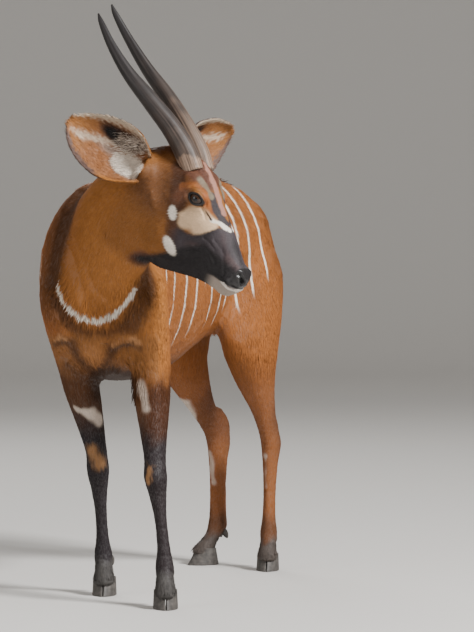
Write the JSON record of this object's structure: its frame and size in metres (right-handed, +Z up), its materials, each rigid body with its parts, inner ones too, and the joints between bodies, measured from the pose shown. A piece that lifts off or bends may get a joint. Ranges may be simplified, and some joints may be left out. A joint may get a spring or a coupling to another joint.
{
  "type": "bongo antelope",
  "caption": "Life-size standing bongo antelope cow with spiralling horns, head turned aside and lowered, chestnut coat with thin pale stripes.",
  "frame": {"origin": "on the floor under the middle of the object's bounding box", "axes": "+Z up, -Y the way the forelegs and chest face, +X the way the muzzle is turned (the animal's left)"},
  "size_m": [0.705, 1.5116, 1.6433],
  "materials": {
    "body_coat": "short chestnut hair with thin white stripes",
    "neck_coat": "short golden brown hair with a white crescent at the chest",
    "face_coat": "very short hair, dark muzzle, pale marks",
    "ear_coat": "short hair outside, long pale hair inside",
    "leg_coat": "short dark hair with pale pasterns",
    "dark_coat": "chestnut tail with a dark tuft",
    "eye": "wet and glossy",
    "horn": "grooved horn, satin, worn at the base",
    "hoof": "dull horn with fine ridges"
  },
  "bodies": {
    "root": {"claw_fore_left_inner": "hoof", "claw_fore_left_outer": "hoof", "claw_fore_right_inner": "hoof", "claw_fore_right_outer": "hoof", "claw_hind_left_inner": "hoof", "claw_hind_left_outer": "hoof", "claw_hind_right_inner": "hoof", "claw_hind_right_outer": "hoof", "dewclaw_fore_left_inner": "hoof", "dewclaw_fore_left_outer": "hoof", "dewclaw_fore_right_inner": "hoof", "dewclaw_fore_right_outer": "hoof", "dewclaw_hind_left_inner": "hoof", "dewclaw_hind_left_outer": "hoof", "dewclaw_hind_right_inner": "hoof", "dewclaw_hind_right_outer": "hoof", "ear_left": "ear_coat", "ear_right": "ear_coat", "eye_left": "eye", "eye_right": "eye", "foreleg_lower_left": "leg_coat", "foreleg_lower_right": "leg_coat", "foreleg_upper_left": "body_coat", "foreleg_upper_right": "body_coat", "head": "face_coat", "hindleg_lower_left": "leg_coat", "hindleg_lower_right": "leg_coat", "hindleg_upper_left": "body_coat", "hindleg_upper_right": "body_coat", "horn_left": "horn", "horn_right": "horn", "neck": "neck_coat", "tail": "dark_coat", "torso": "body_coat"}
  },
  "joints": []
}
